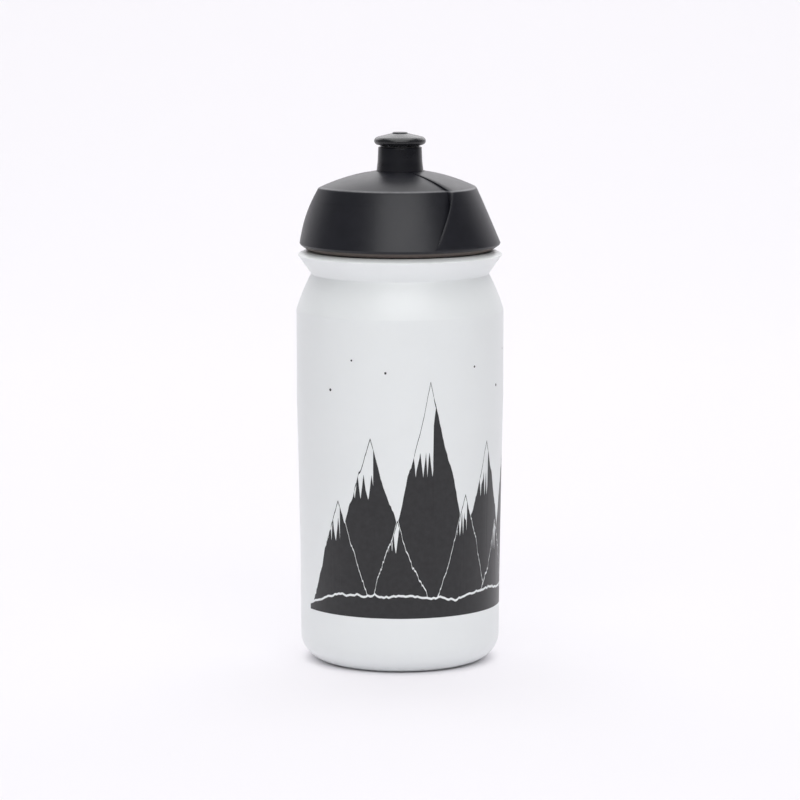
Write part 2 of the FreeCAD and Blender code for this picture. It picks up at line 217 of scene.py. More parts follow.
class FinishColours(bpy.types.PropertyGroup):
    """Colours of the finishes"""

    shell: colour((0.825, 0.85, 0.85), "White polyethylene")
    cap: colour((0.0085, 0.0088, 0.0125), "Black moulding of the cap")
    sleeve: colour((0.003, 0.0034, 0.0065), "Black moulding of the sleeve")
    bite: colour((0.009, 0.0092, 0.011), "Soft black mouthpiece")
    seal: colour((0.30, 0.30, 0.31), "Grey sealing ring")
    ink: colour((0.016, 0.016, 0.0175), "Black printing ink")
    # painted highlight: a light band that stands in for the reflection along the cap's ridge
    painted_ridge_highlight: colour((0.16, 0.16, 0.17), "Ridge of the cap, polished by hands")
    # painted bounce light: a warm light colour on the lip under the cap that stands in for light bounced up
    # from the white collar
    lip: colour((0.11, 0.088, 0.078), "Dull lip under the cap")
    surface: colour((0.92, 0.905, 0.935), "Pale floor and backdrop")
    glow: colour((0.91, 0.89, 0.93), "Own glow of floor and backdrop")


class StageSizes(bpy.types.PropertyGroup):
    """Camera and lamps"""

    distance: length(1.365, "Level distance from the bottle's axis to the camera")
    height: length(0.284, "Height of the camera above the floor")
    aim: length(0.0935, "Height on the axis at the middle of the picture")
    lens: FloatProperty(description="Focal length in millimetres", default=173.05, min=1.0)
    room: FloatProperty(description="Strength of the light from all round", default=0.22, min=0.0)
    front: watts(3.0, "Power of the wide front softbox")
    key: watts(9.6, "Power of the high front softbox")
    top: watts(20.5, "Power of the overhead softbox")
    back: watts(8.5, "Power of the softbox behind the bottle")
    glow: fraction(0.62, "How far the surface shows its own glow away from the bottle")
    glow_start: length(0.028, "Distance from the axis where that glow starts")
    glow_full: length(0.038, "Distance from the axis where it is full")


class BottleSettings(bpy.types.PropertyGroup):
    """All settings of the squeeze bottle"""

    shell: PointerProperty(type=ShellSizes)
    thread: PointerProperty(type=ThreadSizes)
    cap: PointerProperty(type=CapSizes)
    nozzle: PointerProperty(type=NozzleSizes)
    skyline: PointerProperty(type=PrintSizes)
    finish: PointerProperty(type=FinishColours)
    stage: PointerProperty(type=StageSizes)


# Meshes

def add_mesh(name, points, faces=()):
    """A mesh object in the scene."""
    mesh = bpy.data.meshes.new(name)
    mesh.from_pydata([tuple(point) for point in points], [], list(faces))
    mesh.update()
    obj = bpy.data.objects.new(name, mesh)
    bpy.context.scene.collection.objects.link(obj)
    return obj


def joined(name, pieces):
    """One object from several meshes with the same finish."""
    work = bmesh.new()
    material = pieces[0].data.materials[-1]
    for piece in pieces:
        work.from_mesh(piece.data)
        bpy.data.objects.remove(piece)
    for face in work.faces:
        face.material_index = 0
    whole = add_mesh(name, [])
    work.to_mesh(whole.data)
    work.free()
    whole.data.materials.append(material)
    return whole


def face_out(piece):
    """Merge doubles and point the faces of a closed mesh outwards."""
    work = bmesh.new()
    work.from_mesh(piece.data)
    bmesh.ops.remove_doubles(work, verts=work.verts, dist=MERGE)
    bmesh.ops.dissolve_degenerate(work, dist=SLIVER, edges=work.edges)
    bmesh.ops.recalc_face_normals(work, faces=work.faces)
    work.to_mesh(piece.data)
    work.free()


def shade(piece, sharp_degrees=30):
    """Shade smooth and keep edges above an angle sharp."""
    mesh = piece.data
    mesh.polygons.foreach_set("use_smooth", [True] * len(mesh.polygons))
    mesh.set_sharp_from_angle(angle=math.radians(sharp_degrees))
    mesh.update()


def curve_weights(share):
    """Weights of a start, a corner and an end on the curve that rounds the corner."""
    return (1 - share) ** 2, 2 * share * (1 - share), share ** 2


def arc(start, end, radius, bulge, steps):
    """Points after start, up to end, on the short arc that bulges left (1) or right (-1)."""
    start, end = Vector(start), Vector(end)
    along = end - start
    across = Vector((-along.y, along.x)).normalized() * bulge
    centre = (start + end) / 2 - across * math.sqrt(radius ** 2 - (along.length / 2) ** 2)
    first = math.atan2(start.y - centre.y, start.x - centre.x)
    last = math.atan2(end.y - centre.y, end.x - centre.x)
    sweep = (last - first + math.pi) % math.tau - math.pi
    angles = [first + sweep * step / steps for step in range(1, steps + 1)]
    return [(centre.x + radius * math.cos(angle), centre.y + radius * math.sin(angle)) for angle in angles]


def rounded(corners, closed=False, steps=4):
    """An outline of (radius, height) points, where a third number rounds a corner by that reach."""
    outline = []
    count = len(corners)
    for index, corner in enumerate(corners):
        here = Vector(corner[:2])
        if len(corner) < 3 or (not closed and index in (0, count - 1)):
            outline.append(tuple(here))
            continue
        before = Vector(corners[index - 1][:2]) - here
        after = Vector(corners[(index + 1) % count][:2]) - here
        reach = min(corner[2], 0.48 * before.length, 0.48 * after.length)
        start = here + before.normalized() * reach
        end = here + after.normalized() * reach
        for step in range(steps + 1):
            near, middle, far = curve_weights(step / steps)
            outline.append(tuple(start * near + here * middle + end * far))
    return outline


# Node trees

class Nodes:
    """Adds nodes to a geometry or shader tree."""

    def __init__(self, tree):
        self.tree = tree

    def add(self, kind, inputs=None, **settings):
        """A node with its settings, and its inputs linked or set."""
        node = self.tree.nodes.new(kind)
        for name, setting in settings.items():
            setattr(node, name, setting)
        for key, source in (inputs or {}).items():
            if isinstance(source, bpy.types.NodeSocket):
                self.tree.links.new(source, node.inputs[key])
            else:
                node.inputs[key].default_value = source
        return node

    def sum(self, operation, *terms, clamp=False):
        """The result of one sum."""
        node = self.add("ShaderNodeMath", dict(enumerate(terms)), operation=operation, use_clamp=clamp)
        return node.outputs[0]

    def spread(self, value, low, high, out_low=0.0, out_high=1.0):
        """Move a value from one range to another, kept inside it."""
        return self.add("ShaderNodeMapRange", {
            "Value": value, "From Min": low, "From Max": high, "To Min": out_low,
            "To Max": out_high}).outputs["Result"]

    def blend(self, share, first, second):
        """Mix two colours, each given in numbers or by a pattern."""
        first, second = (side if isinstance(side, bpy.types.NodeSocket) else (*side, 1)
                         for side in (first, second))
        return self.add("ShaderNodeMix", {"Factor": share, 6: first, 7: second},
                        data_type="RGBA").outputs[2]


class Form(Nodes):
    """A geometry tree with named inputs, ended by real geometry in one material."""

    def __init__(self, name, inputs):
        super().__init__(bpy.data.node_groups.new(name, "GeometryNodeTree"))
        self.tree.interface.new_socket("Geometry", in_out="OUTPUT", socket_type="NodeSocketGeometry")
        for label, kind in inputs.items():
            self.tree.interface.new_socket(label, in_out="INPUT", socket_type=f"NodeSocket{kind}")
        self.inputs = self.add("NodeGroupInput").outputs

    def end(self, geometry):
        """Realize, merge and paint what the tree has made."""
        real = self.add("GeometryNodeRealizeInstances", {"Geometry": geometry})
        merged = self.add("GeometryNodeMergeByDistance", {"Geometry": real.outputs[0], "Distance": MERGE})
        painted = self.add("GeometryNodeSetMaterial",
                           {"Geometry": merged.outputs[0], "Material": self.inputs["Material"]})
        self.add("NodeGroupOutput", {"Geometry": painted.outputs[0]})

    def grow(self, name, values):
        """The plain mesh that the tree makes with these inputs."""
        holder = add_mesh(name, [])
        modifier = holder.modifiers.new("form", "NODES")
        modifier.node_group = self.tree
        for item in self.tree.interface.items_tree:
            if item.in_out == "INPUT":
                modifier[item.identifier] = values[item.name]
        depsgraph = bpy.context.evaluated_depsgraph_get()
        grown = bpy.data.meshes.new_from_object(holder.evaluated_get(depsgraph))
        holder.modifiers.remove(modifier)
        holder.data = grown
        grown.name = name
        if not grown.polygons:
            raise RuntimeError(f"{name} came out empty")
        return holder


@functools.cache
def turned_form():
    """A tree that turns and screws a line of points about the Z axis."""
    form = Form("turned_form", {
        "Profile": "Object", "Steps": "Int", "Start": "Float", "Sweep": "Float", "Lead": "Float",
        "Root": "Float", "Run-out": "Float", "Material": "Material"})
    given = form.inputs
    line = form.add("GeometryNodeObjectInfo", {"Object": given["Profile"]}).outputs["Geometry"]
    count = form.add("GeometryNodeAttributeDomainSize", {"Geometry": line}).outputs["Point Count"]
    columns = form.sum("ADD", given["Steps"], 1.0)
    grid = form.add("GeometryNodeMeshGrid", {"Vertices X": columns, "Vertices Y": count})
    index = form.add("GeometryNodeInputIndex").outputs[0]
    row = form.sum("FLOORED_MODULO", index, count)
    column = form.sum("FLOOR", form.sum("DIVIDE", form.sum("ADD", index, 0.5), count))
    place = form.add("GeometryNodeInputPosition").outputs[0]
    sample = form.add("GeometryNodeSampleIndex", {"Geometry": line, "Index": row, "Value": place},
                      data_type="FLOAT_VECTOR", domain="POINT")
    point = form.add("ShaderNodeSeparateXYZ", {0: sample.outputs[0]}).outputs
    swept = form.sum("MULTIPLY", form.sum("DIVIDE", column, given["Steps"]), given["Sweep"])
    left = form.sum("SUBTRACT", given["Sweep"], swept)
    nearest = form.sum("MINIMUM", swept, left)
    fade = form.sum("ADD", form.sum("DIVIDE", nearest, given["Run-out"]),
                    form.sum("LESS_THAN", given["Run-out"], 0.0001), clamp=True)
    out = form.sum("MULTIPLY", form.sum("SUBTRACT", point["X"], given["Root"]), fade)
    radius = form.sum("ADD", given["Root"], out)
    angle = form.sum("ADD", swept, given["Start"])
    climb = form.sum("MULTIPLY", form.sum("DIVIDE", swept, math.tau), given["Lead"])
    up = form.sum("ADD", form.sum("MULTIPLY", point["Y"], fade), point["Z"])
    spot = form.add("ShaderNodeCombineXYZ", {
        "X": form.sum("MULTIPLY", radius, form.sum("COSINE", angle)),
        "Y": form.sum("MULTIPLY", radius, form.sum("SINE", angle)),
        "Z": form.sum("ADD", up, climb)}).outputs[0]
    placed = form.add("GeometryNodeSetPosition", {"Geometry": grid.outputs["Mesh"], "Position": spot})
    form.end(placed.outputs[0])
    return form


@functools.cache
def repeated_form():
    """A tree that repeats a piece round the Z axis."""
    form = Form("repeated_form", {
        "Piece": "Object", "Count": "Int", "Start": "Float", "Material": "Material"})
    piece = form.add("GeometryNodeObjectInfo", {"Object": form.inputs["Piece"]}).outputs["Geometry"]
    line = form.add("GeometryNodeMeshLine", {"Count": form.inputs["Count"], "Offset": (0, 0, 0)})
    index = form.add("GeometryNodeInputIndex").outputs[0]
    share = form.sum("DIVIDE", index, form.inputs["Count"])
    angle = form.sum("ADD", form.sum("MULTIPLY", share, math.tau), form.inputs["Start"])
    rotation = form.add("ShaderNodeCombineXYZ", {"Z": angle}).outputs[0]
    copies = form.add("GeometryNodeInstanceOnPoints", {
        "Points": line.outputs[0], "Instance": piece, "Rotation": rotation})
    form.end(copies.outputs[0])
    return form


@functools.cache
def wrapped_form():
    """A tree that lays flat artwork, angle across and height up, on a round wall."""
    form = Form("wrapped_form", {
        "Artwork": "Object", "Wall": "Object", "Start": "Float", "Reach": "Float", "Ink": "Float",
        "Material": "Material"})
    given = form.inputs
    art = form.add("GeometryNodeObjectInfo", {"Object": given["Artwork"]}).outputs["Geometry"]
    wall = form.add("GeometryNodeObjectInfo", {"Object": given["Wall"]}).outputs["Geometry"]
    place = form.add("GeometryNodeInputPosition").outputs[0]
    point = form.add("ShaderNodeSeparateXYZ", {0: place}).outputs
    angle = form.sum("ADD", point["X"], given["Start"])
    ray = form.add("ShaderNodeCombineXYZ", {
        "X": form.sum("COSINE", angle), "Y": form.sum("SINE", angle)}).outputs[0]
    height = form.add("ShaderNodeCombineXYZ", {"Z": point["Y"]}).outputs[0]

    def away(distance):
        """The point at a distance from the axis on this spot's ray."""
        out = form.add("ShaderNodeVectorMath", {0: ray, "Scale": distance}, operation="SCALE")
        return form.add("ShaderNodeVectorMath", {0: out.outputs[0], 1: height}, operation="ADD").outputs[0]

    inward = form.add("ShaderNodeVectorMath", {0: ray, "Scale": -1.0}, operation="SCALE").outputs[0]
    cast = form.add("GeometryNodeRaycast", {
        "Target Geometry": wall, "Source Position": away(given["Reach"]), "Ray Direction": inward,
        "Ray Length": given["Reach"]})
    distance = form.sum("SUBTRACT", given["Reach"], cast.outputs["Hit Distance"])
    laid = form.add("GeometryNodeSetPosition", {
        "Geometry": art, "Position": away(form.sum("ADD", distance, given["Ink"]))})
    form.end(laid.outputs[0])
    return form


def turn_profile(name, outline, material, steps=192, start=0.0, sweep=math.tau, lead=0.0, root=0.0,
                 run_out=0.0, low=0.0):
    """A closed piece from an outline of (radius, height) points, turned or screwed about Z."""
    profile = add_mesh(f"{name}_profile", [(across, up, low) for across, up in outline])
    piece = turned_form().grow(name, {
        "Profile": profile, "Steps": steps, "Start": start, "Sweep": sweep, "Lead": lead,
        "Root": root, "Run-out": run_out, "Material": material})
    bpy.data.objects.remove(profile)
    face_out(piece)
    return piece


# Finishes

class Finish(Nodes):
    """A material with one main shader, whose patterns are read in object space."""

    def __init__(self, name, **sockets):
        self.material = bpy.data.materials.new(name)
        self.material.use_nodes = True
        super().__init__(self.material.node_tree)
        self.shader = self.tree.nodes["Principled BSDF"]
        for label, setting in sockets.items():
            self.shader.inputs[label.replace("_", " ")].default_value = setting
        self.place = self.add("ShaderNodeTexCoord").outputs["Object"]
        self.height = None

    def noise(self, scale, detail=3.0, roughness=0.5, stretch=(1, 1, 1), distortion=0.0):
        """Noise from 0 to 1, stretched along the axes."""
        moved = self.add("ShaderNodeMapping", {"Vector": self.place, "Scale": stretch}).outputs[0]
        return self.add("ShaderNodeTexNoise", {
            "Vector": moved, "Scale": scale, "Detail": detail, "Roughness": roughness,
            "Distortion": distortion}).outputs["Fac"]

    def raise_by(self, value, distance):
        """Add relief of a height in metres."""
        scaled = self.sum("MULTIPLY", value, distance)
        self.height = scaled if self.height is None else self.sum("ADD", self.height, scaled)

    def set(self, label, source):
        """Drive one socket of the shader by a pattern."""
        self.tree.links.new(source, self.shader.inputs[label])

    def done(self):
        """Join the relief to the shader and give the material."""
        bump = self.add("ShaderNodeBump", {"Strength": 1.0, "Distance": 1.0, "Height": self.height})
        self.set("Normal", bump.outputs["Normal"])
        return self.material


def shaded(rgb, factor):
    """A colour made lighter or darker."""
    return tuple(min(1.0, channel * factor) for channel in rgb)


def shell_finish(rgb):
    """Satin white polyethylene with faint mottling, a parting line and cage rubs, and painted floor bounce
    light that makes it lighter towards the foot.
    """
    finish = Finish("white_polyethylene", Roughness=0.34, IOR=1.5, Subsurface_Weight=0.08,
                    Subsurface_Radius=(1.0, 0.95, 0.9), Subsurface_Scale=0.0015)
    mottle = finish.noise(90, detail=4)
    point = finish.add("ShaderNodeSeparateXYZ", {0: finish.place}).outputs
    # painted floor bounce light: the shell is painted lighter towards the foot, where light bounces up from
    # the floor
    painted_floor_bounce = finish.spread(point["Z"], 0.0, 0.07, 1, 0)
    mottle_and_floor_bounce = finish.sum("ADD", finish.sum("MULTIPLY", mottle, 0.25), finish.sum("MULTIPLY", painted_floor_bounce, 0.75))
    finish.set("Base Color", finish.blend(mottle_and_floor_bounce, shaded(rgb, 0.98), shaded(rgb, 1.1)))
    rubs = finish.noise(260, detail=5, stretch=(1, 1, 0.04))
    rubbed = finish.spread(rubs, 0.62, 0.74)
    finish.set("Roughness", finish.sum("ADD", finish.spread(mottle, 0.2, 0.8, 0.30, 0.36),
                                       finish.sum("MULTIPLY", rubbed, 0.08)))
    finish.raise_by(finish.noise(22, detail=1), 0.12 * MM)
    finish.raise_by(finish.noise(1500, detail=2), 0.0016 * MM)
    finish.raise_by(rubbed, -0.002 * MM)
    across = finish.sum("ABSOLUTE", point["Y"])
    finish.raise_by(finish.spread(across, 0.05 * MM, 0.2 * MM, 1, 0), 0.03 * MM)
    return finish.done()


def moulded_finish(name, rgb, roughness, grain, crease_and_painted_light=None):
    """Black moulding with a fine spark-eroded grain and faint scuffs, and with a crease and painted light
    where they are given.
    """
    finish = Finish(name, Roughness=roughness, IOR=1.47, Specular_IOR_Level=0.42)
    patches = finish.noise(220, detail=5, roughness=0.6)
    scratches = finish.noise(900, detail=3, stretch=(1, 0.12, 1), distortion=0.6)
    marks = finish.sum("MULTIPLY", finish.spread(scratches, 0.66, 0.78), finish.spread(patches, 0.45, 0.7))
    tone = finish.sum("ADD", finish.sum("MULTIPLY", marks, 0.4), finish.spread(patches, 0, 1, 0, 0.35),
                      clamp=True)
    skin = finish.blend(tone, shaded(rgb, 0.8), shaded(rgb, 2.6))
    finish.set("Roughness", finish.sum(
        "ADD", finish.spread(patches, 0.2, 0.8, roughness - 0.03, roughness + 0.04),
        finish.sum("MULTIPLY", marks, 0.06)))
    finish.raise_by(finish.noise(4200, detail=3, roughness=0.65), grain)
    finish.raise_by(finish.noise(1300, detail=2), grain * 0.8)
    finish.raise_by(marks, -0.002 * MM)
    finish.set("Base Color", crease_and_painted_light(finish, patches, skin) if crease_and_painted_light else skin)
    return finish.done()


def cap_crease_and_painted_light(settings):
    """Painted light on the cap: a painted highlight along the ridge, a soft crease below it and painted warm
    bounce light on the lip.
    """
    cap, colours = settings.cap, settings.finish

    def crease_and_painted_light(finish, patches, skin):
        """Add the crease and give the skin's colour with the painted ridge highlight and the painted bounce
        light on the lip.
        """
        height = finish.add("ShaderNodeSeparateXYZ", {0: finish.place}).outputs["Z"]
        off_ridge = finish.sum("ABSOLUTE", finish.sum("SUBTRACT", height, cap.ridge))
        # painted highlight: a light band at the ridge's height, made uneven by patches
        painted_ridge_highlight = finish.sum("MULTIPLY", finish.spread(off_ridge, 0.08 * MM, 0.4 * MM, 1, 0),
                          finish.spread(patches, 0.3, 0.7, 0.5, 1))
        # painted bounce light: warm light colour on the lip below this height
        painted_bounce_lit = finish.spread(height, cap.painted_bounce_top, cap.painted_bounce_top + 0.4 * MM, 1, 0)
        crease = cap.ridge - cap.crease
        finish.raise_by(finish.spread(height, crease, crease + 0.7 * MM), 0.03 * MM)
        return finish.blend(painted_bounce_lit, finish.blend(painted_ridge_highlight, skin, colours.painted_ridge_highlight), colours.lip)

    return crease_and_painted_light


def soft_finish(name, rgb, roughness, grain):
    """Soft elastomer with a dusty sheen and a fine matte skin."""
    finish = Finish(name, Roughness=roughness, IOR=1.5, Sheen_Weight=0.06, Sheen_Roughness=0.4)
    dust = finish.noise(700, detail=5, roughness=0.6)
    finish.set("Base Color", finish.blend(finish.spread(dust, 0.35, 0.75),
                                          shaded(rgb, 0.9), shaded(rgb, 1.5)))
    finish.set("Roughness", finish.spread(dust, 0.2, 0.8, roughness - 0.04, roughness + 0.05))
    finish.raise_by(finish.noise(2600, detail=3), grain)
    return finish.done()


def ink_finish(rgb):
    """Black screen-printing ink, slightly uneven."""
    finish = Finish("screen_ink", Roughness=0.34, IOR=1.48)
    film = finish.noise(500, detail=5, roughness=0.6)
    finish.set("Base Color", finish.blend(finish.spread(film, 0.3, 0.8),
                                          shaded(rgb, 0.85), shaded(rgb, 1.6)))
    finish.set("Roughness", finish.spread(film, 0.2, 0.8, 0.30, 0.40))
    finish.raise_by(finish.noise(1800, detail=3), 0.002 * MM)
    return finish.done()


def surface_finish(settings):
    """Pale studio surface that the camera sees close to its own colour, with the object's shadow kept."""
    stage, rgb = settings.stage, settings.finish.surface
    material = bpy.data.materials.new("studio_surface")
    material.use_nodes = True
    nodes = Nodes(material.node_tree)
    nodes.tree.nodes.clear()
    place = nodes.add("ShaderNodeTexCoord").outputs["Object"]
    fibre = nodes.add("ShaderNodeTexNoise", {"Vector": place, "Scale": 900.0, "Detail": 4.0}).outputs["Fac"]
    tone = nodes.blend(fibre, shaded(rgb, 0.995), shaded(rgb, 1.005))
    lit = nodes.add("ShaderNodeBsdfDiffuse", {"Color": tone}).outputs[0]
    plain = nodes.add("ShaderNodeEmission", {"Color": (*settings.finish.glow, 1)}).outputs[0]
    path = nodes.add("ShaderNodeLightPath").outputs
    seen = nodes.sum("ADD", path["Is Camera Ray"], path["Is Glossy Ray"])
    seen = nodes.sum("ADD", seen, path["Is Transmission Ray"], clamp=True)
    off_axis = nodes.add("ShaderNodeVectorMath", {0: place}, operation="LENGTH").outputs["Value"]
    glow = nodes.spread(off_axis, stage.glow_start, stage.glow_full, 0.0, stage.glow)
    mix = nodes.add("ShaderNodeMixShader", {0: nodes.sum("MULTIPLY", seen, glow), 1: lit, 2: plain})
    nodes.add("ShaderNodeOutputMaterial", {"Surface": mix.outputs[0]})
    return material


# Shell

def thread_profile(thread, root, crest):
    """Closed outline of a thread ridge about its own middle height."""
    half_root, half_crest = thread.root / 2, thread.crest / 2
    outline = rounded([(root, -half_root), (crest, -half_crest, 0.15 * MM), (crest, half_crest, 0.15 * MM),
                       (root, half_root)])
    return outline + outline[:1]


def make_shell(settings):
    """The blown shell with its threaded neck."""
    size = settings.shell
    thread = settings.thread
    rim = BOTTLE_HIGH.z
    skin = size.skin
    base_sweep = (size.foot_inner ** 2 / size.hollow + size.hollow) / 2
    outside = [(0, size.hollow), *arc((0, size.hollow), (size.foot_inner, 0), base_sweep, 1, 8)]
    outside += [(size.foot_outer, 0)]
    outside += arc((size.foot_outer, 0), (size.low, size.corner), size.corner, -1, 12)
    outside += [(size.middle, size.middle_height), (size.high, size.high_height)]
    head = rounded([
        (size.grip, size.grip_low),
        (size.grip, size.grip_high, 0.3 * MM),
        *arc((size.grip, size.grip_high), (size.waist, size.waist_height), size.sweep, -1, 10)[:-1],
        (size.waist, size.waist_height, 0.25 * MM),
        (size.collar, size.collar_height, 0.45 * MM),
        (size.shelf, size.shelf_height, 0.35 * MM),
        (size.neck, size.shelf_height, 0.3 * MM),
        (size.neck, rim, 0.5 * MM),
        (size.mouth, rim, 0.5 * MM),
        (size.mouth, size.shelf_height - skin, 0.4 * MM),
        (size.shelf - skin / 2, size.shelf_height - skin),
        (size.collar - 1.4 * skin, size.collar_height - skin / 2, 0.3 * MM),
        (size.waist - skin, size.waist_height, 0.5 * MM),
        (size.grip - skin, size.grip_high - skin / 2, 0.5 * MM),
        (size.grip - skin, size.grip_low)])
    inside = [(size.high - skin, size.high_height), (size.middle - skin, size.middle_height),
              (size.low - skin, size.corner)]
    inside += arc(inside[-1], (size.foot_outer, skin), size.corner - skin, 1, 10)
    inside += [(size.foot_inner, skin), (0, size.hollow + skin)]
    material = shell_finish(settings.finish.shell)
    shell = turn_profile("bottle_shell", outside + head + inside, material, steps=256)
    ridge = thread_profile(thread, size.neck - thread.bite, size.neck + thread.rise)
    neck = turn_profile("neck_ridge", ridge, material, steps=384, sweep=2 * math.tau, lead=thread.lead,
                        root=size.neck - thread.bite, run_out=thread.run_out, low=thread.low)
    return joined("bottle_shell", [shell, neck])


# Cap

class Facet:
    """Shape of one swept facet of the cap, with its step's corner on +X."""

    TOP_ROWS = 14
    SKIRT_ROWS = 20

    def __init__(self, cap):
        self.cap = cap
        self.wedge = math.tau / cap.facets
        self.levels = [
            (cap.edge, cap.edge_radius, 0.0),
            (cap.middle, cap.middle_radius, cap.middle_offset),
            (cap.ridge, cap.ridge_radius, cap.ridge_offset),
            (cap.top_height, cap.top_radius, cap.top_offset)]
        start = (cap.step_start, -cap.step_lag)
        corner = (cap.step_corner, 0.0)
        end = (cap.step_end, -cap.step_end_lag)
        line = [Vector(start).lerp(Vector(corner), step / 24) for step in range(25)]
        line += [Vector(point) for point in arc(corner, end, cap.step_sweep, 1, 40)]
        self.line = [(point.length, math.atan2(point.y, point.x)) for point in line]
        self.peak = cap.ridge + cap.dome - math.sqrt(cap.dome ** 2 - cap.ridge_radius ** 2)

    def step_angle(self, radius):
        """Direction of the step's line at a distance from the axis."""
        before = self.line[0]
        if radius <= before[0]:
            return before[1]
        for after in self.line[1:]:
            if radius <= after[0]:
                share = (radius - before[0]) / (after[0] - before[0])
                return before[1] + share * (after[1] - before[1])
            before = after
        return before[1]

    def section(self, height):
        """Radius and offset of the leaning cone at a height, on a smooth curve through its levels."""
        radius = offset = 0.0
        for level, level_radius, level_offset in self.levels:
            weight = 1.0
            for other, _, _ in self.levels:
                if other != level:
                    weight *= (height - other) / (level - other)
            radius += weight * level_radius
            offset += weight * level_offset
        return radius, offset

    def skirt(self, share, height):
        """The point of the skirt at a share of the way from this step to the next."""
        radius, offset = self.section(height)
        distance = radius
        for _ in range(12):
            angle = self.step_angle(distance) + share * self.wedge
            side = offset * math.cos(angle)
            distance = math.sqrt(radius ** 2 - side ** 2) - offset * math.sin(angle)
        return Vector((distance * math.cos(angle), distance * math.sin(angle), height))

    def top(self, share, way):
        """The point of the top at a share of the way out from the nest to the ridge."""
        ridge = self.skirt(share, self.cap.ridge)
        reach = math.hypot(ridge.x, ridge.y)
        distance = self.cap.nest + way * (reach - self.cap.nest)
        angle = self.step_angle(distance) + share * self.wedge
        across, along = distance * math.cos(angle), distance * math.sin(angle)
        lean = self.cap.step_fade + (1 - self.cap.step_fade) * way
        off_axis = math.hypot(across, along + self.cap.ridge_offset * lean)
        rise = math.sqrt(self.cap.dome ** 2 - off_axis ** 2)
        return Vector((across, along, self.peak - self.cap.dome + rise))

    def plain(self, share, distance, height, near_nest):
        """A point of the round parts, in the step's direction at the nest or at the edge."""
        angle = self.step_angle(self.cap.nest if near_nest else self.cap.edge_radius) + share * self.wedge
        return Vector((distance * math.cos(angle), distance * math.sin(angle), height))

    def column(self, share, spout, hollow):
        """All points of the closed profile at one share of the way round the facet."""
        cap = self.cap
        points = [self.plain(share, across, up, True) for across, up in spout]
        points += [self.top(share, way / self.TOP_ROWS) for way in range(self.TOP_ROWS)]
        reach = cap.ridge_round
        start = self.top(share, 1 - reach / (cap.ridge_radius - cap.nest))
        corner = self.skirt(share, cap.ridge)
        end = self.skirt(share, cap.ridge - reach)
        points.append(start.lerp(points[-1], 0.15))
        for step in range(5):
            near, middle, far = curve_weights(step / 4)
            points.append(start * near + corner * middle + end * far)
        fall = cap.ridge - reach - cap.edge
        for step in (0.02, *(way / self.SKIRT_ROWS for way in range(1, self.SKIRT_ROWS + 1))):
            points.append(self.skirt(share, cap.ridge - reach - step * fall))
        points += [self.plain(share, across, up, False) for across, up in hollow]
        return points


# Inside of the cap from the lip to the spout: radius, height and reach of the corner's round
BORE_EDGE = [(0.033, CAP_LOW.z, 0.25 * MM), (0.0309, CAP_LOW.z)]
SEAL_SEAT = [(0.0291, GASKET_LOW.z), (0.0291, GASKET_HIGH.z, 0.1 * MM),
             (0.0268, GASKET_HIGH.z, 0.2 * MM)]
UNDERSIDE = [(0.026, 0.1652, 0.4 * MM), (0.0243, 0.1686, 1.2 * MM), (0.015, 0.1723, 1.5 * MM)]


def make_wedge(cap, spout, hollow, columns):
    """One facet with its step and its share of the round parts, ready to be repeated."""
    facet = Facet(cap)
    first = facet.column(0.0, spout, hollow)
    last = facet.column(1.0, spout, hollow)
    round_share = cap.step_round / (facet.wedge * cap.ridge_radius)
    inset = facet.column(round_share, spout, hollow)
    back = Matrix.Rotation(-facet.wedge, 3, "Z")
    face = []
    bends = [[], [], []]
    for corner, deep, beside in zip(first, last, inset):
        drop = back @ deep - corner
        start = corner + drop.normalized() * min(cap.step_round, 0.7 * drop.length)
        face.append(start)
        for step, bend in enumerate(bends, start=1):
            near, middle, far = curve_weights(step / 4)
            bend.append(start * near + corner * middle + beside * far)
    shares = [round_share, 2 * round_share, *(step / columns for step in range(2, columns)), 1.0]
    rows = [face, *bends, *(facet.column(share, spout, hollow) for share in shares)]
    ahead = Matrix.Rotation(facet.wedge, 3, "Z")
    rows.append([ahead @ point for point in face])
    width = len(first)
    faces = []
    for step in range(len(rows) - 1):
        for spot in range(width):
            following = (spot + 1) % width
            faces.append((step * width + spot, (step + 1) * width + spot,
                          (step + 1) * width + following, step * width + following))
    return add_mesh("cap_wedge", [point for row in rows for point in row], faces)


def make_ribs(cap, low, height, material):
    """The ribs that hold the pin in the spout post."""
    work = bmesh.new()
    bmesh.ops.create_cube(work, size=1.0)
    middle = low + height / 2
    reach = cap.post_bore + 0.3 * MM
    half_crest, half_foot = 0.35 * MM, 0.5 * MM
    for vert in work.verts:
        half = half_crest if vert.co.z > 0 else half_foot
        vert.co = Vector(((vert.co.x + 0.5) * reach, math.copysign(half, vert.co.y),
                          middle + vert.co.z * height))
    crests = [edge for edge in work.edges
              if abs(edge.verts[0].co.x - edge.verts[1].co.x) > MM and edge.verts[0].co.z > middle]
    bmesh.ops.bevel(work, geom=crests, offset=0.2 * MM, segments=3, affect="EDGES")
    rib = add_mesh("rib", [])
    work.to_mesh(rib.data)
    work.free()
    ribs = repeated_form().grow("ribs", {
        "Piece": rib, "Count": cap.facets, "Start": cap.step_turn, "Material": material})
    bpy.data.objects.remove(rib)
    face_out(ribs)
    return ribs


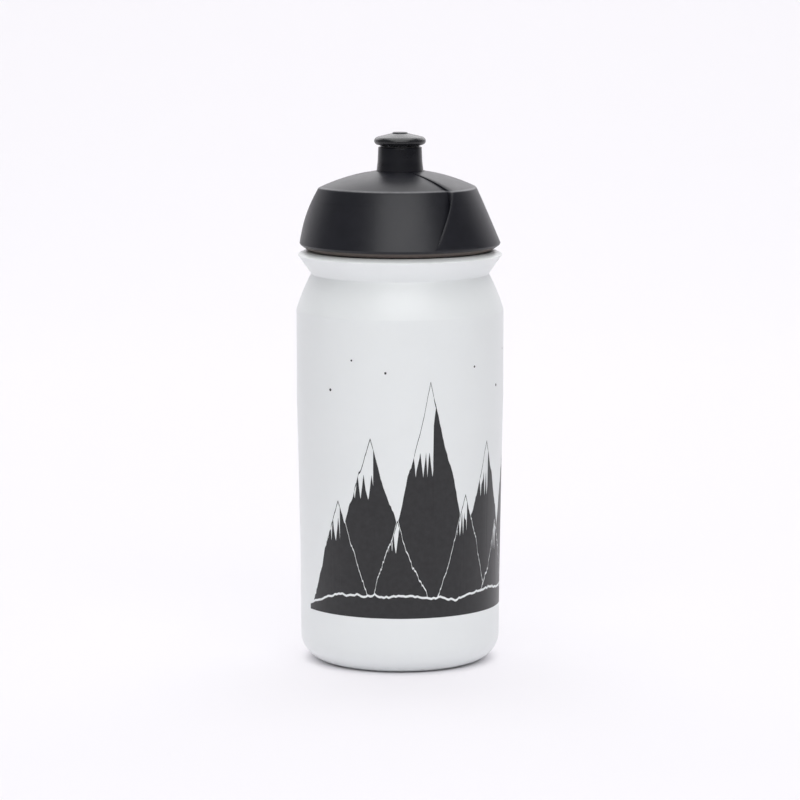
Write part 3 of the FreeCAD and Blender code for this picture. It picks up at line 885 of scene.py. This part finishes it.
def make_cap(settings):
    """The screw cap: swept facets, threaded bore, spout post, ribs and sealing pin."""
    cap = settings.cap
    thread = settings.thread
    material = moulded_finish("black_moulding", settings.finish.cap, 0.36, 0.012 * MM, cap_crease_and_painted_light(settings))
    top = CAP_HIGH.z
    spout = rounded([
        (cap.post_bore, cap.plate), (cap.post_bore, cap.post_top, 0.2 * MM),
        (cap.post, cap.post_top, 0.15 * MM), (cap.bead, cap.bead_high, 0.12 * MM),
        (cap.bead, cap.bead_low, 0.12 * MM), (cap.post, cap.bead_low), (cap.post, cap.nest_floor, 0.2 * MM),
        (cap.nest, cap.nest_floor)], steps=3)
    hollow = arc((cap.edge_radius, cap.edge), (cap.lip_radius, cap.lip_height), cap.lip_round, 1, 4)
    hollow += rounded([
        hollow[-1], *BORE_EDGE, (cap.bore, CAP_LOW.z + 0.4 * MM), (cap.bore, cap.bore_top), *SEAL_SEAT,
        *UNDERSIDE, spout[0]], steps=3)[1:]
    wedge = make_wedge(cap, spout[1:], hollow, 56)
    form = repeated_form().grow("cap_form", {
        "Piece": wedge, "Count": cap.facets, "Start": cap.step_turn, "Material": material})
    bpy.data.objects.remove(wedge)
    face_out(form)
    pin = turn_profile("sealing_pin", rounded([
        (0, cap.pin_foot), (cap.pin, cap.pin_foot, 0.25 * MM), (cap.pin, cap.plug_low - 0.6 * MM, 0.2 * MM),
        (cap.plug, cap.plug_low, 0.2 * MM), (cap.plug, cap.plug_high, 0.15 * MM),
        (0.0025, top, 0.12 * MM), (0, top)]), material, steps=64)
    ribs = make_ribs(cap, cap.pin_foot, 2 * MM, material)
    ridge = thread_profile(thread, cap.bore + thread.bite, cap.bore - thread.rise)
    low = thread.low - thread.lead / 2 + thread.lead * cap.step_turn / math.tau
    screw = turn_profile("cap_ridge", ridge, material, start=cap.step_turn, lead=thread.lead,
                         root=cap.bore + thread.bite, run_out=thread.run_out, low=low)
    return joined("screw_cap_moulding", [form, pin, ribs, screw])


# Seal and nozzle

def closed_ring(name, corners, material, steps):
    """A turned ring whose outline closes on itself."""
    outline = rounded(corners, closed=True)
    return turn_profile(name, outline + outline[:1], material, steps=steps)


def make_gasket(settings):
    """The flat sealing ring, with a fine groove in each face."""
    low, high = GASKET_LOW.z, GASKET_HIGH.z
    inner, outer = 0.0271, GASKET_HIGH.x
    middle = (inner + outer) / 2
    groove, half = 0.12 * MM, 0.35 * MM
    corners = [
        (inner, low, 0.2 * MM), (middle - half, low, 0.1 * MM), (middle, low + groove, 0.15 * MM),
        (middle + half, low, 0.1 * MM), (outer, low, 0.2 * MM), (outer, high, 0.2 * MM),
        (middle + half, high, 0.1 * MM), (middle, high - groove, 0.15 * MM),
        (middle - half, high, 0.1 * MM), (inner, high, 0.2 * MM)]
    material = soft_finish("grey_elastomer", settings.finish.seal, 0.6, 0.006 * MM)
    return closed_ring("gasket_ring", corners, material, 160)


def make_sleeve(settings):
    """The hard sleeve with its catch and barbed stub."""
    size = settings.nozzle
    foot, top = SLEEVE_LOW.z, BITE_LOW.z
    corners = [
        (size.catch, foot, 0.2 * MM), (SLEEVE_HIGH.x, foot, 0.25 * MM),
        (size.shoulder, size.shoulder_height, 0.8 * MM), (size.neck, top, 0.3 * MM), (size.stub, top),
        (size.stub, size.barb_low), (size.barb, size.barb_high), (size.stub, SLEEVE_HIGH.z),
        (size.bore, SLEEVE_HIGH.z, 0.2 * MM), (size.bore, size.barrel_top),
        (size.barrel_bore, size.barrel_top), (size.barrel_bore, size.catch_top),
        (size.catch, size.catch_top)]
    material = moulded_finish("sleeve_moulding", settings.finish.sleeve, 0.28, 0.004 * MM)
    return closed_ring("nozzle_barrel", corners, material, 128)


def make_mouthpiece(settings):
    """The soft flanged end, pressed over the stub."""
    size = settings.nozzle
    foot = BITE_LOW.z
    corners = [
        (size.stub, foot), (size.root, foot, 0.2 * MM), (size.root, foot + 0.5 * MM, 0.25 * MM),
        (0.0086, foot + 0.9 * MM, 0.5 * MM), (BITE_HIGH.x, size.rim_low, 0.4 * MM),
        (BITE_HIGH.x, size.rim_high, 0.5 * MM), (size.crown, size.crown_height, 0.6 * MM),
        (size.hole_edge, BITE_HIGH.z, 0.15 * MM), (size.hole, 0.18895), (size.hole, size.hole_low),
        (size.stub, size.hole_low), (size.barb, size.barb_high), (size.stub, size.barb_low)]
    material = soft_finish("soft_bite", settings.finish.bite, 0.26, 0.003 * MM)
    return closed_ring("bite_flange", corners, material, 128)


# Print

class Jag:
    """A rugged line: straight runs between random knots, finer and finer."""

    def __init__(self, seed, octaves):
        self.layers = []
        for order, (knots, swing) in enumerate(octaves):
            chance = random.Random(seed * 17 + order)
            self.layers.append((knots, [chance.uniform(-swing, swing) for _ in range(knots + 2)]))

    def at(self, share):
        """Height of the line at a share of its length."""
        height = 0.0
        for knots, swings in self.layers:
            spot = min(max(share, 0.0), 1.0) * knots
            knot = int(spot)
            height += swings[knot] + (swings[knot + 1] - swings[knot]) * (spot - knot)
        return height


def cut(bands, low, high):
    """Take one band of height out of a column's inked bands."""
    left = []
    for start, end in bands:
        if start < low:
            left.append((start, min(end, low)))
        if end > high:
            left.append((max(start, high), end))
    return [band for band in left if band[1] - band[0] > 0.05 * MM]


# Jags as (knots, swing) pairs, from coarse to fine
HILL_JAGS = [(9, 1.6 * MM), (40, 0.5 * MM), (160, 0.35 * MM)]
SLOPE_JAGS = [(7, 2.2 * MM), (23, 1.1 * MM), (90, 0.55 * MM)]
CREST_JAGS = [(11, 3.2 * MM), (37, 1.8 * MM)]
SNOW_TEETH = 9
SNOW_DROP = 18 * MM
SNOW_LIFT = 3 * MM
SNOW_SIDES = (-0.6, 0.05)
# Bare lines that part a peak from those behind it, its snow from its edge, and the hills from the peaks
PEAK_LINE = 0.7 * MM
SNOW_EDGE = 0.8 * MM
HILL_LINE = 0.8 * MM
# Each peak: place as a share of the print, summit, reach left and right as shares, snow line
PEAKS = [
    (0.215, 0.0850, 0.160, 0.150, 0.0660),
    (0.555, 0.0820, 0.150, 0.150, 0.0650),
    (0.880, 0.0790, 0.140, 0.110, 0.0620),
    (0.370, 0.1050, 0.150, 0.160, 0.0740),
    (0.715, 0.0950, 0.150, 0.160, 0.0700),
    (0.120, 0.0620, 0.110, 0.110, 0.0500),
    (0.285, 0.0560, 0.090, 0.100, 0.0470),
    (0.475, 0.0640, 0.100, 0.100, 0.0520),
    (0.610, 0.0520, 0.090, 0.100, 0.0440),
    (0.815, 0.0600, 0.100, 0.110, 0.0490),
]
# Each star: place as a share of the print, height, radius in millimetres
STARS = [(0.10, 0.101, 0.5), (0.165, 0.112, 0.35), (0.255, 0.108, 0.45), (0.50, 0.109, 0.4),
         (0.60, 0.101, 0.5), (0.66, 0.113, 0.35), (0.83, 0.104, 0.45), (0.93, 0.098, 0.35)]


def print_columns(layout, count):
    """Inked bands of height for each column of the mountain range."""
    foot = layout.foot
    hills = Jag(layout.seed, HILL_JAGS)
    columns = [[] for _ in range(count + 1)]
    for number, (place, summit, left, right, snow) in enumerate(PEAKS):
        slope = Jag(layout.seed + number, SLOPE_JAGS)
        crest = Jag(layout.seed + 50 + number, CREST_JAGS)
        for index in range(count + 1):
            share = index / count
            side = (share - place) / (right if share > place else left)
            if abs(side) >= 1:
                continue
            reach = 1 - abs(side)
            rugged = min(1.0, 5 * abs(side)) * min(1.0, 5 * reach)
            height = foot + (summit - foot) * reach ** 1.08 + slope.at((side + 1) / 2) * rugged
            if height <= foot:
                continue
            columns[index] = cut(columns[index], foot, height + PEAK_LINE)
            columns[index].insert(0, (foot, height))
            zigzag = abs((side * SNOW_TEETH + crest.at((side + 1) / 2) / (9 * MM)) % 1 - 0.5)
            lower = snow + SNOW_DROP * zigzag - SNOW_LIFT
            upper = height - SNOW_EDGE
            if SNOW_SIDES[0] < side < SNOW_SIDES[1] and upper > lower:
                columns[index] = cut(columns[index], lower, upper)
    for index in range(count + 1):
        share = index / count
        ends = min(1.0, 9 * share, 9 * (1 - share))
        ground = foot + (7.2 * MM + hills.at(share)) * (0.25 + 0.75 * ends)
        columns[index] = cut(columns[index], foot, ground + HILL_LINE)
        columns[index].insert(0, (foot, ground))
        for place, height, radius in STARS:
            across = (share - place) * layout.span * BOTTLE_HIGH.x / MM
            if abs(across) < radius:
                half = math.sqrt(radius ** 2 - across ** 2) * MM
                columns[index].append((height - half, height + half))
    return columns


def make_artwork(layout, count=1440):
    """Flat artwork: angle across in radians, height up in metres."""
    columns = print_columns(layout, count)
    points, faces = [], []
    for index in range(count):
        across = layout.span * index / count
        beyond = layout.span * (index + 1) / count
        following = list(columns[index + 1])
        for low, high in columns[index]:
            match = next((band for band in following if band[0] < high and band[1] > low), None)
            if match is None:
                continue
            following.remove(match)
            base = len(points)
            points += [(across, low, 0), (beyond, match[0], 0), (beyond, match[1], 0), (across, high, 0)]
            faces.append((base, base + 1, base + 2, base + 3))
    return add_mesh("flat_artwork", points, faces)


def make_print(settings, shell):
    """The printed mountain range, laid on the wall."""
    layout = settings.skyline
    art = make_artwork(layout)
    ink = wrapped_form().grow("mountain_print", {
        "Artwork": art, "Wall": shell, "Start": layout.start, "Reach": 0.06, "Ink": layout.ink,
        "Material": ink_finish(settings.finish.ink)})
    bpy.data.objects.remove(art)
    return ink


# Stage

# Each softbox: place, height on the axis that it faces, and size across and up
SOFTBOXES = {
    "front": ((-0.1, -1.5, 1.0), 0.1, (1.7, 0.8)),
    "key": ((0.12, -1.25, 1.25), 0.1, (1.7, 0.5)),
    "top": ((0, 0.1, 1.7), 0.0, (1.6, 1.6)),
    "back": ((0, 1.2, 1.0), 0.15, (2.4, 1.0)),
}


def lamp(name, place, target, size, power):
    """A soft rectangular lamp that faces a target."""
    light = bpy.data.lights.new(name, "AREA")
    light.shape = "RECTANGLE"
    light.size, light.size_y = size
    light.energy = power
    obj = bpy.data.objects.new(name, light)
    bpy.context.scene.collection.objects.link(obj)
    obj.location = place
    obj.rotation_euler = (Vector(target) - Vector(place)).to_track_quat("-Z", "Y").to_euler()


def make_stage(settings):
    """Seamless pale surface, soft lamps and the camera."""
    stage = settings.stage
    half, front, back, bend, height = 3.0, -6.0, 1.5, 0.7, 2.4
    line = [(front, 0.0), (back - bend, 0.0)]
    for degrees in range(6, 91, 6):
        angle = math.radians(degrees)
        line.append((back - bend + bend * math.sin(angle), bend - bend * math.cos(angle)))
    line.append((back, height))
    points = [(side * half, along, up) for along, up in line for side in (-1, 1)]
    faces = [(2 * step, 2 * step + 1, 2 * step + 3, 2 * step + 2) for step in range(len(line) - 1)]
    floor = add_mesh("studio_surface", points, faces)
    shade(floor, 60)
    floor.data.materials.append(surface_finish(settings))
    for name, (place, aim, size) in SOFTBOXES.items():
        lamp(f"{name}_softbox", place, (0, 0, aim), size, getattr(stage, name))
    world = bpy.data.worlds.new("studio_room")
    bpy.context.scene.world = world
    world.use_nodes = True
    background = world.node_tree.nodes["Background"]
    background.inputs["Color"].default_value = (0.98, 0.98, 1.0, 1)
    background.inputs["Strength"].default_value = stage.room
    camera = bpy.data.cameras.new("camera")
    camera.sensor_width = 36
    camera.lens = stage.lens
    camera.clip_start = 0.05
    camera.clip_end = 20
    viewer = bpy.data.objects.new("camera", camera)
    bpy.context.scene.collection.objects.link(viewer)
    viewer.location = (0, -stage.distance, stage.height)
    viewer.rotation_euler = (Vector((0, 0, stage.aim)) - viewer.location).to_track_quat("-Z", "Y").to_euler()
    bpy.context.scene.camera = viewer
    bpy.context.scene.view_settings.view_transform = "Standard"


# Operators

def finish_piece(piece, body, node=None):
    """Shade a piece, tie it to its body, and let it stand for its solid."""
    shade(piece)
    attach(piece, body)
    if node:
        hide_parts(node)


class BOTTLE_OT_shell(bpy.types.Operator):
    """Build the white blown shell with its threaded neck"""

    bl_idname = "bottle.shell"
    bl_label = "Shell"

    def execute(self, context):
        finish_piece(make_shell(context.scene.squeeze_bottle), "bottle", "bottle_body")
        return {"FINISHED"}


class BOTTLE_OT_print(bpy.types.Operator):
    """Print the mountain range on the shell"""

    bl_idname = "bottle.print"
    bl_label = "Print"

    def execute(self, context):
        ink = make_print(context.scene.squeeze_bottle, bpy.data.objects["bottle_shell"])
        finish_piece(ink, "bottle")
        return {"FINISHED"}


class BOTTLE_OT_cap(bpy.types.Operator):
    """Build the black screw cap with its spout post and pin"""

    bl_idname = "bottle.cap"
    bl_label = "Cap"

    def execute(self, context):
        finish_piece(make_cap(context.scene.squeeze_bottle), "cap", "screw_cap")
        return {"FINISHED"}


class BOTTLE_OT_gasket(bpy.types.Operator):
    """Build the sealing ring between cap and neck"""

    bl_idname = "bottle.gasket"
    bl_label = "Gasket"

    def execute(self, context):
        finish_piece(make_gasket(context.scene.squeeze_bottle), "seal", "cap_gasket")
        return {"FINISHED"}


class BOTTLE_OT_nozzle(bpy.types.Operator):
    """Build the sliding nozzle: hard sleeve and soft mouthpiece"""

    bl_idname = "bottle.nozzle"
    bl_label = "Nozzle"

    def execute(self, context):
        settings = context.scene.squeeze_bottle
        finish_piece(make_sleeve(settings), "nozzle", "nozzle_sleeve")
        finish_piece(make_mouthpiece(settings), "nozzle", "mouthpiece")
        return {"FINISHED"}


class BOTTLE_OT_stage(bpy.types.Operator):
    """Set up the studio surface, the lamps and the camera"""

    bl_idname = "bottle.stage"
    bl_label = "Stage"

    def execute(self, context):
        make_stage(context.scene.squeeze_bottle)
        return {"FINISHED"}


OPERATORS = (BOTTLE_OT_shell, BOTTLE_OT_print, BOTTLE_OT_cap, BOTTLE_OT_gasket, BOTTLE_OT_nozzle,
             BOTTLE_OT_stage)


class BOTTLE_PT_panel(bpy.types.Panel):
    """Lists the steps that build the bottle"""

    bl_idname = "BOTTLE_PT_panel"
    bl_label = "Squeeze Bottle"
    bl_space_type = "VIEW_3D"
    bl_region_type = "UI"
    bl_category = "Bottle"

    def draw(self, context):
        for operator in OPERATORS:
            self.layout.operator(operator.bl_idname)


CLASSES = (ShellSizes, ThreadSizes, CapSizes, NozzleSizes, PrintSizes, FinishColours, StageSizes,
           BottleSettings, *OPERATORS, BOTTLE_PT_panel)


def register():
    """Add the classes and the scene's settings."""
    for item in CLASSES:
        bpy.utils.register_class(item)
    bpy.types.Scene.squeeze_bottle = PointerProperty(type=BottleSettings)


def unregister():
    """Take the settings and the classes away again."""
    del bpy.types.Scene.squeeze_bottle
    for item in reversed(CLASSES):
        bpy.utils.unregister_class(item)


def main():
    """Build everything in order."""
    register()
    bpy.ops.bottle.shell()
    bpy.ops.bottle.print()
    bpy.ops.bottle.cap()
    bpy.ops.bottle.gasket()
    bpy.ops.bottle.nozzle()
    bpy.ops.bottle.stage()
    bpy.context.view_layer.update()


if __name__ == "__main__":
    main()
